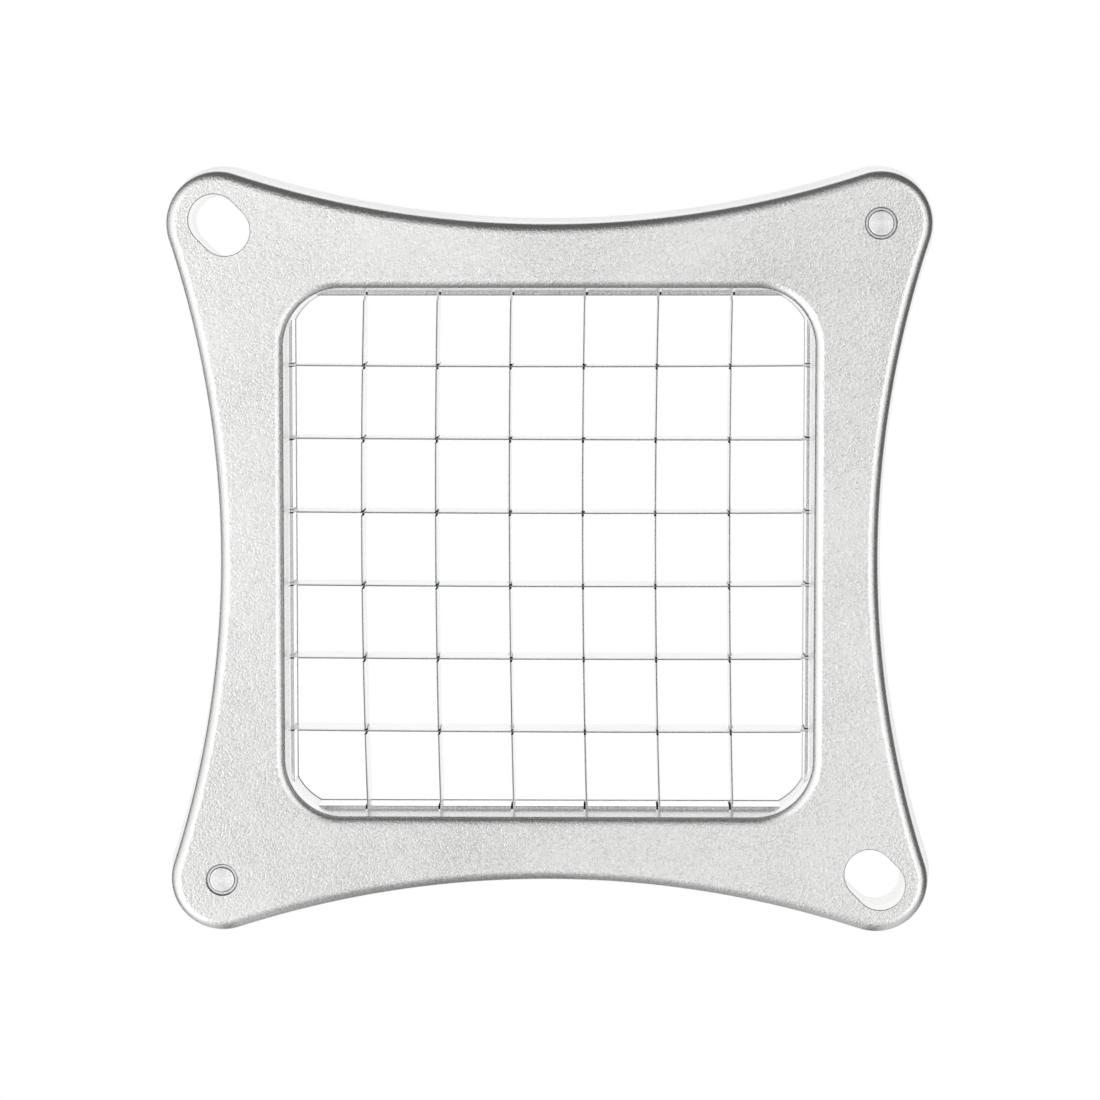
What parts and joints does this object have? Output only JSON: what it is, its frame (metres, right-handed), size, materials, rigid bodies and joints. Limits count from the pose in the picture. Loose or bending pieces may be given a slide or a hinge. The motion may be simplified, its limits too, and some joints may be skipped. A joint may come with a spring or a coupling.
{
  "type": "vegetable dicer blade cassette",
  "caption": "Square cast blade cassette with concave sides and a crossed grid of thin strip blades, which cuts food pushed through it into cubes.",
  "frame": {"origin": "middle of the underside", "axes": "+Z out of the feed side, along which the cutting edges face; +Y towards the rear rail, with the mounting slots at the rear left and the front right; +X to the right"},
  "size_m": [0.134, 0.134, 0.0127],
  "materials": {
    "cast_face": "pebbled as-cast, lightly tumbled",
    "cast_body": "as-cast sides with machined lands",
    "blade_steel": "fine ground stainless strip",
    "rod_steel": "drawn stainless rod",
    "rivet_metal": "turned head"
  },
  "bodies": {
    "root": {"lower_frame": "cast_body", "upper_frame": "cast_face", "cross_blade_1": "blade_steel", "cross_blade_2": "blade_steel", "cross_blade_3": "blade_steel", "cross_blade_4": "blade_steel", "cross_blade_5": "blade_steel", "cross_blade_6": "blade_steel", "long_blade_1": "blade_steel", "long_blade_2": "blade_steel", "long_blade_3": "blade_steel", "long_blade_4": "blade_steel", "long_blade_5": "blade_steel", "long_blade_6": "blade_steel", "rod_rear": "rod_steel", "rod_front": "rod_steel", "rod_left": "rod_steel", "rod_right": "rod_steel", "rivet_rear_right": "rivet_metal", "rivet_front_left": "rivet_metal"}
  },
  "joints": []
}
